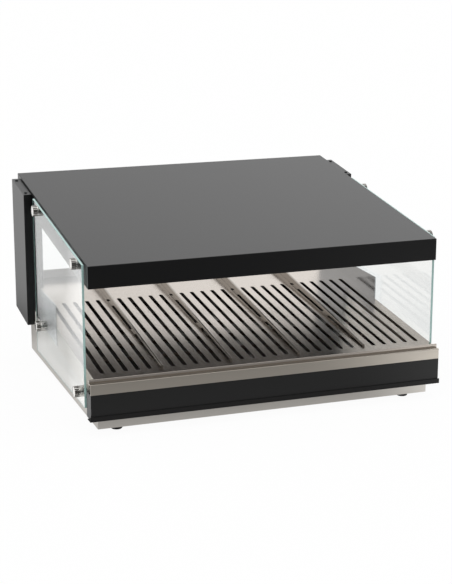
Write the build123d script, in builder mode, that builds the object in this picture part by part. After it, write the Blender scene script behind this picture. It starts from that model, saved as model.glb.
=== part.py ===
"""Counter-top warmer: five sloping lanes under a heated hood, loaded from the back.

Frame: origin on the resting plane under the middle of the bounding box, +Z up,
the low front faces -Y, millimetres throughout.
"""
import os
from math import cos, radians, sin, tan

from build123d import *

os.makedirs("parts", exist_ok=True)

# Overall size and the sheets it is folded from
overall_depth = 554.0
foot_height = 8.0
sheet = 1.5
cover_sheet = 1.2
gap = 0.3

# Hood
hood_width = 640.0
hood_front_height = 293.0
hood_slope = 7.0
hood_skirt = 39.0
front_projection = 18.0
bend_radius = 1.0
insulation_thickness = 10.0
liner_rim = 14.0
liner_side_gap = 2.0

# Base box
base_inset = 12.0
foot_diameter = 20.0
foot_taper = 1.0
foot_inset_x = 38.0
foot_inset_y = 20.0
foot_recess = 4.0
nut_height = 3.2
pan_inset = 12.0
pan_rim = 14.0
controls_room = 58.0
partition_foot = 12.0
pan_rear_gap = 15.0
base_insulation_thickness = 18.0
vent_x = 200.0
vent_length = 30.0
vent_spacing = 45.0
vent_width = 4.0
vent_pitch = 9.0
vent_count = 6

# Sloping shelf with its slots and lanes
shelf_slope = 5.5
shelf_front_height = 99.3
shelf_overhang = 7.0
shelf_fold = 13.0
bend_radius = 1.0
chamber_inset = 5.0
frame_depth = 35.0
frame_flange = 16.0
lane_count = 5
slots_per_lane = 6
slot_pitch = 21.0
slot_width = 7.6
slot_start = 22.0
slot_length = 352.0

# Lane dividers
divider_length = 484.0
divider_front_rise = 4.0
divider_rear_rise = 18.0
divider_hem = 4.6
divider_bead_radius = 1.5
tab_length = 26.0
tab_depth = 10.0
tab_clearance = 0.5
tab_places = (8.0, 160.0, 312.0)

# Front lip, black panel and the strip under it
lip_height = 18.5
lip_step = 6.4
panel_height = 44.8
panel_return = 28.0
panel_overhang = 3.7
trim_height = 8.4
trim_projection = 2.0

# Side panes and their round clamps
glass_thickness = 4.0
glass_gap = 2.0
glass_setback = 17.4
glass_bottom = 42.6
glass_top_step = 3.0
glass_rear_gap = 31.0
clamp_diameter = 20.0
clamp_length = 9.8
clamp_chamfer = 0.8
stud_diameter = 6.0
stud_clearance = 0.2
stud_cover = 2.5
bush_diameter = 12.0
clamp_front = 54.0
clamp_rear = 341.0
clamp_top_drop = 10.2
clamp_front_height = 61.5
clamp_rear_height = 101.2

# Rear uprights and the black columns outside them
guard_start = 242.0
guard_height = 166.0
upright_start = 369.0
upright_return = 6.0
column_start = 411.7
column_depth = 103.0
column_thickness = 13.6
column_gap = 0.9
column_step = 4.6
column_height = 254.0
column_screw_inset = 12.0
column_screw_diameter = 3.0
column_screw_head = 6.0
column_screw_rise = 1.5
column_screw_length = 4.5
spacer_diameter = 14.0
spacer_top_gap = 15.0
spacer_pitch = 78.0
spacer_count = 3
hood_bush_places = (400.0, 500.0)
hood_bush_drop = 22.0

# Heating
heater_diameter = 8.0
heater_half_span = 268.0
heater_bend = 22.0
lower_run_count = 6
lower_run_pitch = 66.0
lower_run_start = 70.0
bracket_width = 16.0
bracket_thickness = 2.0
bracket_places = (-200.0, 0.0, 200.0)
upper_row_places = (140.0, 380.0)
upper_pair_pitch = 50.0
upper_heater_drop = 25.0
clip_width = 8.0
clip_wall = 1.2
clip_places = (-210.0, 0.0, 210.0)

# Operator's controls at the back
controls_width = 250.0
controls_height = 62.0
controls_middle = 52.0
controls_corner = 8.0
knob_diameter = 34.0
knob_disc = 4.0
knob_grip = 11.0
knob_grip_width = 9.0
knob_grip_length = 30.0
knob_gap = 1.0
knob_x = 92.0
spindle_diameter = 6.0
spindle_clearance = 0.05
spindle_hole_clearance = 0.6
spindle_grip = 10.0
thermostat_width = 38.0
thermostat_height = 30.0
thermostat_depth = 24.0
rocker_width = 14.0
rocker_height = 21.0
rocker_tilt = 8.0
rocker_depth = 3.0
rocker_rise = 2.6
rocker_valley = 1.0
rocker_shoulder = 1.0
switch_wall = 2.2
switch_clearance = 0.6
switch_bezel = 2.0
switch_depth = 22.0
lamp_x = 40.0
lamp_diameter = 9.0
lamp_flange = 12.0
lamp_rise = 3.0
lamp_depth = 18.0
gland_x = -200.0
gland_bore = 8.5
gland_thread = 16.0
gland_nut = 22.0
gland_nut_depth = 7.0
gland_inner_nut_depth = 3.5
gland_outside = 20.0
gland_inside = 10.0
block_x = -150.0
block_length = 60.0
block_width = 22.0
block_height = 18.0
block_ways = 6
block_pitch = 10.0
block_row_pitch = 14.0
block_hole_depth = 6.0
screw_diameter = 4.0
screw_head = 7.6
screw_head_height = 2.4
screw_clearance = 0.3

# Derived places
front_y = -overall_depth / 2
back_y = overall_depth / 2
hood_front_y = front_y + front_projection
hood_half = hood_width / 2
base_half = hood_half - base_inset
base_front_y = hood_front_y
chamber_half = hood_half - chamber_inset
column_front_y = hood_front_y + column_start
column_back_y = column_front_y + column_depth
base_back_y = column_back_y - sheet
wall_inner_y = base_back_y - sheet
shelf_front_y = hood_front_y - shelf_overhang
panel_front_y = front_y + trim_projection
panel_half = hood_half + panel_overhang
lip_top = shelf_front_height - lip_step
lip_bottom = lip_top - lip_height
panel_bottom = lip_bottom - panel_height
floor_top = foot_height + sheet
pan_bottom = floor_top + base_insulation_thickness
glass_inner = hood_half + glass_gap
glass_outer = glass_inner + glass_thickness
glass_front_y = hood_front_y + glass_setback
glass_back_y = column_front_y - glass_rear_gap
upright_outer = chamber_half + sheet
column_plate = hood_half + column_gap
column_inner = column_plate + sheet
column_outer = column_inner + column_thickness
controls_face_y = base_back_y + sheet
controls_depth = controls_face_y - wall_inner_y
heated_rear_y = wall_inner_y - controls_room
hood_rise = tan(radians(hood_slope))
shelf_rise = tan(radians(shelf_slope))
shelf_cos = cos(radians(shelf_slope))
hood_normal = (0, -sin(radians(hood_slope)), cos(radians(hood_slope)))
shelf_normal = (0, -sin(radians(shelf_slope)), shelf_cos)
divider_xs = [(i - lane_count / 2) * slots_per_lane * slot_pitch for i in range(1, lane_count)]
sides = {"left": -1, "right": 1}


def hood_z(y):
    """Height of the hood's top face at depth y."""
    return hood_front_height + (y - hood_front_y) * hood_rise


def shelf_z(y):
    """Height of the shelf's upper face at depth y."""
    return shelf_front_height + (y - shelf_front_y) * shelf_rise


def frame_bottom(y):
    """Height of the shelf frame's lower edge, where it sits on the base box."""
    return shelf_z(y) - frame_depth


def column_top(y):
    return hood_z(y) - column_step


def liner_top(y):
    return hood_z(y) - cover_sheet - insulation_thickness


def lower(height, amount):
    """The same height function, moved down."""
    return lambda y: height(y) - amount


def level(height):
    """A height function that is the same at every depth."""
    return lambda y: height


shelf_plane = Plane(origin=(0, shelf_front_y, shelf_front_height), x_dir=(1, 0, 0), z_dir=shelf_normal)
hood_plane = Plane(origin=(0, hood_front_y, hood_front_height), x_dir=(1, 0, 0), z_dir=hood_normal)
outward = Plane(origin=(0, controls_face_y, controls_middle), x_dir=(-1, 0, 0), z_dir=(0, 1, 0))


def band(y_from, y_to, top, bottom):
    """Side outline, as (y, z) corners, between two height functions."""
    return [(y_from, bottom(y_from)), (y_to, bottom(y_to)), (y_to, top(y_to)), (y_from, top(y_from))]


def prism(points, x_from, x_to, mode=Mode.ADD):
    """A side outline pushed from one X to another, in the open part."""
    with BuildSketch(Plane.YZ.offset(min(x_from, x_to))) as profile:
        with BuildLine():
            Polyline(*points, close=True)
        make_face()
    extrude(profile.sketch, amount=abs(x_to - x_from), mode=mode)


def slab(x_from, x_to, y_from, y_to, z_from, z_to, mode=Mode.ADD):
    """An upright box between two corners, in the open part."""
    with BuildSketch(Plane.XY.offset(z_from)) as footprint:
        with Locations(((x_from + x_to) / 2, (y_from + y_to) / 2)):
            Rectangle(x_to - x_from, y_to - y_from)
    extrude(footprint.sketch, amount=z_to - z_from, mode=mode)


def rods(plane, centres, diameter, length, mode=Mode.ADD):
    """Round bars that start on a plane and follow its normal, in the open part."""
    with BuildSketch(plane) as ends:
        with Locations(*centres):
            Circle(diameter / 2)
    extrude(ends.sketch, amount=length, mode=mode)


def sweep_tube(plane, points, radius, diameter):
    """A round tube along straight runs with equal bends, drawn on a plane."""
    with BuildLine(plane) as path:
        FilletPolyline(*points, radius=radius)
    with BuildSketch(Plane(origin=path.line @ 0, z_dir=path.line % 0)) as section:
        Circle(diameter / 2)
    sweep(section.sketch, path=path.line)


def save(piece, name):
    """Label a finished piece and write it."""
    piece.part.label = name
    export_step(piece.part, f"parts/{name}.step")


def foot_places():
    x = base_half - foot_inset_x
    front = base_front_y + foot_inset_y
    rear = wall_inner_y - foot_inset_y
    return [(x, front), (-x, front), (x, rear), (-x, rear)]


def make_base_shell():
    """Front and side walls of the base box, folded in under the shelf frame."""
    inner_half = base_half - sheet
    flange_half = base_half - frame_flange
    ground = level(foot_height)
    with BuildPart() as base:
        prism(band(base_front_y, wall_inner_y, frame_bottom, ground), -base_half, base_half)
        room = band(base_front_y + sheet, wall_inner_y, lower(frame_bottom, sheet), ground)
        prism(room, -inner_half, inner_half, Mode.SUBTRACT)
        mouth = band(base_front_y + frame_flange, wall_inner_y, lower(frame_bottom, -sheet), ground)
        prism(mouth, -flange_half, flange_half, Mode.SUBTRACT)
    return base


def make_base_floor():
    """Bottom plate between the base walls, with foot holes and cooling slots."""
    half = base_half - sheet
    with BuildPart() as floor:
        slab(-half, half, base_front_y + sheet, wall_inner_y, foot_height, floor_top)
        rods(Plane.XY.offset(foot_height), foot_places(), screw_diameter + 2 * screw_clearance, sheet,
             Mode.SUBTRACT)
        with BuildSketch(Plane.XY.offset(foot_height)):
            with Locations((0, wall_inner_y - controls_room / 2)):
                with GridLocations(vent_spacing, vent_pitch, vent_count, 2):
                    SlotOverall(vent_length, vent_width)
        extrude(amount=sheet, mode=Mode.SUBTRACT)
    return floor


def make_rubber_feet():
    """Four moulded feet, a little wider at the plate, each with a recess for its screw."""
    with BuildPart() as feet:
        for x, y in foot_places():
            with BuildSketch(Plane.XY.offset(foot_height)):
                with Locations((x, y)):
                    Circle(foot_diameter / 2)
            extrude(amount=-foot_height)
        chamfer(feet.edges().group_by(Axis.Z)[0], foot_taper)
        rods(Plane.XY, foot_places(), screw_head + 2 * screw_clearance, foot_recess, Mode.SUBTRACT)
        rods(Plane.XY, foot_places(), screw_diameter + 2 * screw_clearance, foot_height, Mode.SUBTRACT)
    return feet


def make_foot_screws():
    """A pan-head screw up through each foot, and the nut on the floor plate."""
    with BuildPart() as screws:
        rods(Plane.XY.offset(foot_recess), foot_places(), screw_head, -screw_head_height)
        rods(Plane.XY.offset(foot_recess), foot_places(), screw_diameter, floor_top)
        with BuildSketch(Plane.XY.offset(floor_top)):
            with Locations(*foot_places()):
                RegularPolygon(screw_head / 2, 6)
        extrude(amount=nut_height)
    return screws


def make_base_insulation():
    """Mineral slab on the floor plate."""
    half = base_half - pan_inset
    front = base_front_y + pan_inset
    with BuildPart() as wool:
        slab(-half, half, front, heated_rear_y - pan_rear_gap, floor_top, pan_bottom)
        rods(Plane.XY.offset(floor_top), foot_places(), foot_diameter, base_insulation_thickness,
             Mode.SUBTRACT)
    return wool


def make_heat_pan():
    """Bright pan over the insulation that turns the lower heat upwards."""
    half = base_half - pan_inset
    front = base_front_y + pan_inset
    rear = heated_rear_y - pan_rear_gap
    top = pan_bottom + pan_rim
    with BuildPart() as pan:
        slab(-half, half, front, rear, pan_bottom, top)
        slab(-half + sheet, half - sheet, front + sheet, rear - sheet, pan_bottom + sheet, top, Mode.SUBTRACT)
    return pan


def make_partition():
    """Sheet between the heated room and the room for the controls."""
    half = base_half - sheet
    y = heated_rear_y
    top = lower(frame_bottom, sheet + gap)
    with BuildPart() as partition:
        prism(band(y, y + sheet, top, level(floor_top)), -half, half)
        prism(band(y - partition_foot, y, level(floor_top + sheet), level(floor_top)), -half, half)
    return partition


def make_chamber_frame():
    """Four folded walls that carry the shelf, with a flange round the bottom."""
    half = chamber_half
    front = base_front_y
    rear = wall_inner_y
    top = lower(shelf_z, sheet / shelf_cos)
    with BuildPart() as frame:
        prism(band(front, rear, top, frame_bottom), -half, half)
        room = band(front + sheet, rear - sheet, lower(top, -sheet), lower(frame_bottom, -sheet))
        prism(room, -half + sheet, half - sheet, Mode.SUBTRACT)
        mouth = band(front + frame_flange, rear - frame_flange, shelf_z, lower(frame_bottom, sheet))
        prism(mouth, -half + frame_flange, half - frame_flange, Mode.SUBTRACT)
    return frame


def front_ridge(part):
    """The upper edges of a part's foremost face, where its sheet is bent."""
    foremost = part.faces().sort_by(Axis.Y)[0]
    return foremost.edges().filter_by(Axis.X).group_by(Axis.Z)[-1]


def make_shelf():
    """Sloping slotted shelf in one sheet, folded down at the front over the lip's whole width."""
    length = (wall_inner_y - gap - shelf_front_y) / shelf_cos
    fold_bottom = shelf_front_height - shelf_fold
    fold = [
        (shelf_front_y, fold_bottom),
        (shelf_front_y + sheet, fold_bottom),
        (shelf_front_y + sheet, shelf_z(shelf_front_y + sheet)),
        (shelf_front_y, shelf_front_height),
    ]
    slot_count = lane_count * slots_per_lane - 1
    with BuildPart() as shelf:
        with BuildSketch(shelf_plane):
            with Locations((0, length / 2)):
                Rectangle(2 * chamber_half, length)
            with Locations((0, slot_start + slot_length / 2)):
                with GridLocations(slot_pitch, 1, slot_count, 1):
                    SlotOverall(slot_length, slot_width, rotation=90, mode=Mode.SUBTRACT)
        extrude(amount=-sheet)
        prism(fold, -panel_half, panel_half)
        fillet(front_ridge(shelf), bend_radius)
    return shelf


def make_divider(x):
    """Low removable lane wall: a hemmed strip that rises to the back, with three folded tabs."""
    start = shelf_front_y + slot_start
    end = start + divider_length
    foot = lower(shelf_z, -gap)
    climb = (divider_rear_rise - divider_front_rise) / divider_length
    tab_half = slot_width / 2 - tab_clearance
    tab_bottom = lower(shelf_z, sheet + tab_depth)

    def top(y):
        return foot(y) + divider_front_rise + (y - start) * climb

    with BuildPart() as divider:
        prism(band(start, end, top, foot), x - sheet / 2, x + sheet / 2)
        prism(band(start, end, top, lower(top, divider_front_rise)), x - divider_hem / 2, x + divider_hem / 2)
        ridges = divider.edges().filter_by(lambda edge: edge.length > divider_length).sort_by(Axis.Z)[-2:]
        fillet(ridges, divider_bead_radius)
        for place in tab_places:
            tab = band(start + place, start + place + tab_length, lower(foot, -gap), tab_bottom)
            prism(tab, x - tab_half, x + tab_half)
    return divider


def make_front_lip():
    """Brushed angle in front of the shelf fold."""
    half = panel_half
    with BuildPart() as lip:
        slab(-half, half, panel_front_y, panel_front_y + sheet, lip_bottom, lip_top)
        slab(-half, half, panel_front_y, shelf_front_y, lip_top - sheet, lip_top)
        fillet(front_ridge(lip), bend_radius)
    return lip


def make_front_panel():
    """Black channel across the front, with short returns beside the base."""
    half = panel_half
    back = panel_front_y + panel_return
    clear = chamber_half + gap
    with BuildPart() as panel:
        slab(-half, half, panel_front_y, back, panel_bottom, lip_bottom)
        slab(-half + cover_sheet, half - cover_sheet, panel_front_y + cover_sheet, back,
             panel_bottom + cover_sheet, lip_bottom - cover_sheet, Mode.SUBTRACT)
        slab(-clear, clear, base_front_y, back, panel_bottom, lip_bottom, Mode.SUBTRACT)
    return panel


def make_front_trim():
    """Black angle under the panel; it stands a little proud at the front and the ends."""
    half = panel_half + trim_projection
    low = panel_bottom - sheet
    with BuildPart() as trim:
        slab(-half, half, front_y, panel_front_y, low, low + trim_height)
        slab(-half, half, panel_front_y, base_front_y, low, panel_bottom)
    return trim


def cut_controls():
    """Holes for the spindles, the lamps and the switch through the open rear sheet."""
    with BuildSketch(outward) as cutouts:
        with Locations((knob_x, 0), (-knob_x, 0)):
            Circle(spindle_diameter / 2 + spindle_hole_clearance)
        with Locations((lamp_x, 0), (-lamp_x, 0)):
            Circle(lamp_diameter / 2)
        Rectangle(switch_body_width(), switch_body_height())
    extrude(cutouts.sketch, amount=-controls_depth, mode=Mode.SUBTRACT)


def switch_body_width():
    return rocker_width + 2 * (switch_clearance + switch_wall / 2)


def switch_body_height():
    return rocker_height + 2 * (switch_clearance + switch_wall / 2)


def make_rear_wall():
    """Back of the base box and of the shelf frame, up to the loading edge."""
    shoulder = frame_bottom(wall_inner_y)
    corners = [(-base_half, foot_height), (base_half, foot_height), (base_half, shoulder),
               (chamber_half, shoulder), (chamber_half, guard_height), (-chamber_half, guard_height),
               (-chamber_half, shoulder), (-base_half, shoulder)]
    with BuildPart() as wall:
        with BuildSketch(Plane.XZ.offset(-base_back_y)):
            with BuildLine():
                Polyline(*corners, close=True)
            make_face()
            with Locations((vent_x, controls_middle)):
                with GridLocations(1, vent_pitch, 1, vent_count):
                    SlotOverall(2 * vent_length, vent_width, mode=Mode.SUBTRACT)
            with Locations((gland_x, controls_middle)):
                Circle(gland_thread / 2, mode=Mode.SUBTRACT)
        extrude(amount=sheet)
        cut_controls()
    return wall


def make_upright(side):
    """Inner side plate: a low guard beside the shelf and a tall part that carries the hood.

    The tall part's front edge is folded inwards above the guard.
    """
    guard_y = hood_front_y + guard_start
    tall_y = hood_front_y + upright_start
    under_hood = lower(hood_z, cover_sheet + gap)
    corners = [
        (guard_y, frame_bottom(guard_y)),
        (base_back_y, frame_bottom(base_back_y)),
        (base_back_y, under_hood(base_back_y)),
        (tall_y, under_hood(tall_y)),
        (tall_y, guard_height),
        (guard_y, guard_height),
    ]
    edge = band(tall_y, tall_y + sheet, lower(liner_top, sheet + gap), level(guard_height))
    with BuildPart() as upright:
        prism(corners, side * chamber_half, side * upright_outer)
        prism(edge, side * (chamber_half - upright_return), side * chamber_half)
    return upright


def make_column(side):
    """Black folded cover of the rear column, open towards the machine."""
    bottom = lower(column_top, column_height)
    inner, outer = side * column_inner, side * column_outer
    front, rear = column_front_y, column_back_y
    wall = cover_sheet
    with BuildPart() as column:
        prism(band(front, rear, column_top, bottom), inner, outer)
        room = band(front + wall, rear - wall, lower(column_top, wall), lower(bottom, -wall))
        prism(room, inner, outer - side * wall, Mode.SUBTRACT)
        rods(column_screw_plane(), column_screw_places(side), column_screw_diameter + 2 * screw_clearance,
             -2 * wall, Mode.SUBTRACT)
    return column


def column_screw_plane():
    return hood_plane.offset(-column_step * cos(radians(hood_slope)))


def column_screw_places(side):
    """Screw centres on the column's top, as (x, distance along the hood's slope)."""
    x = side * (column_inner + column_outer) / 2
    fore = column_start + column_screw_inset
    aft = column_start + column_depth - column_screw_inset
    slant = cos(radians(hood_slope))
    return [(x, fore / slant), (x, aft / slant)]


def make_column_plate(side):
    """Plate that closes the column, with a top flange for the column's screws."""
    bottom = lower(column_top, column_height)
    under = lower(column_top, cover_sheet)
    inner = side * column_plate
    seam = side * column_inner
    flange = side * (column_outer - cover_sheet - gap)
    start = column_front_y + cover_sheet + gap
    end = column_back_y - cover_sheet - gap
    with BuildPart() as plate:
        prism(band(column_front_y, column_back_y, column_top, bottom), inner, seam)
        prism(band(start, end, under, lower(under, sheet)), seam, flange)
        rods(column_screw_plane(), column_screw_places(side), column_screw_diameter, -column_screw_length,
             Mode.SUBTRACT)
    return plate


def make_column_screws():
    """Small dark screws on top of the columns, two on each."""
    top = column_screw_plane()
    with BuildPart() as screws:
        for side in sides.values():
            rods(top, column_screw_places(side), column_screw_head, column_screw_rise)
            rods(top, column_screw_places(side), column_screw_diameter, -column_screw_length)
    return screws


def make_column_spacers():
    """Bushes between each upright and its column plate."""
    y = column_front_y + column_depth / 2
    highest = hood_z(y) - hood_skirt - spacer_diameter / 2 - spacer_top_gap
    centres = [(y, highest - row * spacer_pitch) for row in range(spacer_count)]
    length = column_plate - upright_outer
    with BuildPart() as spacers:
        rods(Plane.YZ.offset(upright_outer), centres, spacer_diameter, length)
        mirror(about=Plane.YZ)
    return spacers


def make_hood_bushes():
    """Bushes between the uprights and the hood's sides."""
    centres = []
    for place in hood_bush_places:
        y = hood_front_y + place
        centres.append((y, hood_z(y) - hood_bush_drop))
    length = hood_half - cover_sheet - upright_outer
    with BuildPart() as bushes:
        rods(Plane.YZ.offset(upright_outer), centres, bush_diameter, length)
        mirror(about=Plane.YZ)
    return bushes


def make_hood_shell():
    """Sloping black hood folded from one sheet, open underneath."""
    with BuildPart() as hood:
        prism(band(hood_front_y, back_y, hood_z, lower(hood_z, hood_skirt)), -hood_half, hood_half)
        top = hood.faces().sort_by(SortBy.AREA)[-2:].sort_by(Axis.Z)[-1]
        fillet(top.edges(), bend_radius)
        half = hood_half - cover_sheet
        room = band(hood_front_y + cover_sheet, back_y - cover_sheet, lower(hood_z, cover_sheet),
                    lower(hood_z, 2 * hood_skirt))
        prism(room, -half, half, Mode.SUBTRACT)
    return hood


def make_hood_insulation():
    """Mineral blanket between the hood's skin and its liner."""
    half = chamber_half - liner_side_gap
    front = hood_front_y + cover_sheet + gap
    back = back_y - cover_sheet - gap
    with BuildPart() as wool:
        prism(band(front, back, lower(hood_z, cover_sheet), liner_top), -half, half)
    return wool


def make_hood_liner():
    """Bright reflector under the insulation, folded down at its front and back."""
    half = chamber_half - liner_side_gap
    front = hood_front_y + cover_sheet + gap
    back = back_y - cover_sheet - gap
    rim = lower(liner_top, liner_rim)
    with BuildPart() as liner:
        prism(band(front, back, liner_top, lower(liner_top, sheet)), -half, half)
        prism(band(front, front + sheet, liner_top, rim), -half, half)
        prism(band(back - sheet, back, liner_top, rim), -half, half)
    return liner


def upper_runs():
    """Distances along the hood's slope of the two runs of each upper heater."""
    return [(place - upper_pair_pitch / 2, place + upper_pair_pitch / 2) for place in upper_row_places]


def make_upper_heaters():
    """Two hairpin tube heaters under the liner."""
    plane = hood_plane.offset(-upper_heater_drop)
    span = heater_half_span
    with BuildPart() as heaters:
        for near, far in upper_runs():
            sweep_tube(plane, [(-span, near), (span, near), (span, far), (-span, far)], heater_bend,
                       heater_diameter)
    return heaters


def make_heater_clips():
    """Ring clips that hang the upper heaters from the liner."""
    bore = heater_diameter / 2 + gap
    stem_top = upper_heater_drop - (cover_sheet + insulation_thickness + sheet) * cos(radians(hood_slope))
    level_of_runs = hood_plane.offset(-upper_heater_drop)
    up_the_slope = (0, hood_normal[2], -hood_normal[1])
    with BuildPart() as clips:
        for x in clip_places:
            for along in [run for pair in upper_runs() for run in pair]:
                centre = level_of_runs.from_local_coords((x - clip_width / 2, along, 0))
                with BuildSketch(Plane(origin=centre, x_dir=up_the_slope, z_dir=(1, 0, 0))):
                    Circle(bore + clip_wall)
                    with Locations((0, stem_top / 2)):
                        Rectangle(2 * clip_wall, stem_top)
                    Circle(bore, mode=Mode.SUBTRACT)
                extrude(amount=clip_width)
    return clips


def make_lower_heater():
    """Serpentine tube heater under the shelf."""
    rest = (frame_depth - sheet - bracket_thickness) * shelf_cos
    plane = shelf_plane.offset(-(rest - heater_diameter / 2 - gap))
    points = []
    for run in range(lower_run_count):
        along = lower_run_start + run * lower_run_pitch
        ends = (-heater_half_span, heater_half_span)
        start, end = ends if run % 2 == 0 else reversed(ends)
        points += [(start, along), (end, along)]
    with BuildPart() as heater:
        sweep_tube(plane, points, heater_bend, heater_diameter)
    return heater


def make_heater_brackets():
    """Three strips from the front flange to the rear one, under the lower heater."""
    base = lower(frame_bottom, -sheet)
    start = base_front_y + sheet + gap
    end = wall_inner_y - sheet - gap
    with BuildPart() as brackets:
        for x in bracket_places:
            strip = band(start, end, lower(base, -bracket_thickness), base)
            prism(strip, x - bracket_width / 2, x + bracket_width / 2)
    return brackets


def glass_top(y):
    return hood_z(y) - glass_top_step


def clamp_places():
    """Clamp centres as (y, z) and the X of the wall each stud stands on."""
    fore = hood_front_y + clamp_front
    aft = hood_front_y + clamp_rear
    return [
        ((fore, glass_top(fore) - clamp_top_drop), hood_half),
        ((aft, glass_top(aft) - clamp_top_drop), hood_half),
        ((fore, clamp_front_height), base_half),
        ((aft, clamp_rear_height), upright_outer),
    ]


def make_glass(side):
    """Clear side pane with four drilled holes."""
    centres = [place for place, wall in clamp_places()]
    hole = stud_diameter + 2 * stud_clearance
    with BuildPart() as pane:
        prism(band(glass_front_y, glass_back_y, glass_top, level(glass_bottom)), side * glass_inner,
              side * glass_outer)
        rods(Plane.YZ.offset(min(side * glass_inner, side * glass_outer)), centres, hole, glass_thickness,
             Mode.SUBTRACT)
    return pane


def make_glass_knobs():
    """Round clamp heads outside the panes, hollow for the studs."""
    centres = [place for place, wall in clamp_places()]
    face = Plane.YZ.offset(glass_outer)
    with BuildPart() as knobs:
        rods(face, centres, clamp_diameter, clamp_length)
        chamfer(knobs.edges().group_by(Axis.X)[-1], clamp_chamfer)
        rods(face, centres, stud_diameter + 2 * stud_clearance, clamp_length - stud_cover, Mode.SUBTRACT)
        mirror(about=Plane.YZ)
    return knobs


def make_glass_studs():
    """Weld studs that pass through the panes into the clamp heads."""
    tip = glass_outer + clamp_length - stud_cover - stud_clearance
    with BuildPart() as studs:
        for place, wall in clamp_places():
            rods(Plane.YZ.offset(wall), [place], stud_diameter, tip - wall)
        mirror(about=Plane.YZ)
    return studs


def make_glass_spacers():
    """Bushes round the studs, from the metal to the pane."""
    hole = stud_diameter + 2 * stud_clearance
    with BuildPart() as spacers:
        for place, wall in clamp_places():
            rods(Plane.YZ.offset(wall), [place], bush_diameter, glass_inner - wall)
            rods(Plane.YZ.offset(wall), [place], hole, glass_inner - wall, Mode.SUBTRACT)
        mirror(about=Plane.YZ)
    return spacers


def make_controls_plate():
    """Dark plate behind the operator's controls."""
    with BuildPart() as plate:
        with BuildSketch(outward):
            RectangleRounded(controls_width, controls_height, controls_corner)
            with Locations(*controls_screw_places()):
                Circle(screw_diameter / 2 + screw_clearance, mode=Mode.SUBTRACT)
        extrude(amount=-sheet)
        cut_controls()
    return plate


def controls_screw_places():
    x = controls_width / 2 - controls_corner
    z = controls_height / 2 - controls_corner
    return [(x, z), (-x, z), (x, -z), (-x, -z)]


def make_controls_screws():
    """Pan-head screws at the corners of the controls plate."""
    with BuildPart() as screws:
        rods(outward, controls_screw_places(), screw_head, screw_head_height)
        rods(outward, controls_screw_places(), screw_diameter, -sheet)
    return screws


def make_thermostat(x):
    """Thermostat body behind the rear wall, bored for its spindle."""
    back = outward.offset(-controls_depth)
    with BuildPart() as body:
        with BuildSketch(back):
            with Locations((x, 0)):
                Rectangle(thermostat_width, thermostat_height)
        extrude(amount=-thermostat_depth)
        rods(back, [(x, 0)], spindle_diameter + 2 * spindle_clearance, -(spindle_grip + gap), Mode.SUBTRACT)
    return body


def make_spindle(x):
    """Round spindle from the thermostat into the knob."""
    depth = controls_depth + spindle_grip
    with BuildPart() as spindle:
        rods(outward.offset(-depth), [(x, 0)], spindle_diameter, depth + knob_gap + spindle_grip)
    return spindle


def make_knob(x):
    """Round control knob with a raised grip bar, on the spindle."""
    face = outward.offset(knob_gap)
    with BuildPart() as knob:
        rods(face, [(x, 0)], knob_diameter, knob_disc)
        chamfer(knob.edges().group_by(Axis.Y)[-1], clamp_chamfer)
        with BuildSketch(face.offset(knob_disc)):
            with Locations((x, 0)):
                SlotOverall(knob_grip_length, knob_grip_width, rotation=90)
        extrude(amount=knob_grip)
        fillet(knob.edges().group_by(Axis.Y)[-1], bend_radius)
        rods(face, [(x, 0)], spindle_diameter + 2 * spindle_clearance, spindle_grip + spindle_clearance,
             Mode.SUBTRACT)
    return knob


def make_switch_housing():
    """Frame and body of the rocker switch, hollow where the rocker swings."""
    room_width = rocker_width + 2 * switch_clearance
    room_height = rocker_height + 2 * switch_clearance
    with BuildPart() as housing:
        with BuildSketch(outward):
            Rectangle(room_width + 2 * switch_wall, room_height + 2 * switch_wall)
        extrude(amount=switch_bezel)
        fillet(housing.edges().group_by(Axis.Y)[-1], bend_radius)
        with BuildSketch(outward):
            Rectangle(switch_body_width(), switch_body_height())
        extrude(amount=-switch_depth)
        with BuildSketch(outward.offset(switch_bezel)):
            Rectangle(room_width, room_height)
        extrude(amount=-(switch_bezel + 2 * rocker_depth), mode=Mode.SUBTRACT)
    return housing


def make_switch_rocker():
    """Rocker with a shallow valley, at rest with its upper half pressed in."""
    tilt = radians(rocker_tilt)
    pivot = (-rocker_width / 2, controls_face_y + switch_bezel, controls_middle)
    half = rocker_height / 2
    shoulder = half - rocker_shoulder
    face = Plane(origin=pivot, x_dir=(0, cos(tilt), sin(tilt)), z_dir=(1, 0, 0))
    with BuildPart() as rocker:
        with BuildSketch(face):
            with BuildLine():
                Polyline((-rocker_depth, -shoulder), (rocker_rise / 2, -half), (rocker_rise, -shoulder),
                         (rocker_valley, 0), (rocker_rise, shoulder), (rocker_rise / 2, half),
                         (-rocker_depth, shoulder), close=True)
            make_face()
        extrude(amount=rocker_width)
    return rocker


def make_pilot_lamps():
    """Two lens caps with their bodies through the sheets."""
    places = [(lamp_x, 0), (-lamp_x, 0)]
    with BuildPart() as lamps:
        rods(outward, places, lamp_flange, lamp_rise)
        fillet(lamps.edges().group_by(Axis.Y)[-1], bend_radius)
        rods(outward, places, lamp_diameter - 2 * gap, -lamp_depth)
    return lamps


def make_cord_gland():
    """Threaded gland for the supply cord, with a flange nut on each side of the wall."""
    axis = Plane(origin=(gland_x, base_back_y, controls_middle), x_dir=(-1, 0, 0), z_dir=(0, 1, 0))
    with BuildPart() as gland:
        rods(axis.offset(-sheet - gland_inside), [(0, 0)], gland_thread - 2 * gap,
             gland_inside + sheet + gland_outside)
        fillet(gland.edges().group_by(Axis.Y)[-1], bend_radius)
        with BuildSketch(axis):
            RegularPolygon(gland_nut / 2, 6)
        extrude(amount=gland_nut_depth)
        with BuildSketch(axis.offset(-sheet)):
            RegularPolygon(gland_nut / 2, 6)
        extrude(amount=-gland_inner_nut_depth)
        rods(axis.offset(-sheet - gland_inside), [(0, 0)], gland_bore, gland_inside + sheet + gland_outside,
             Mode.SUBTRACT)
    return gland


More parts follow.
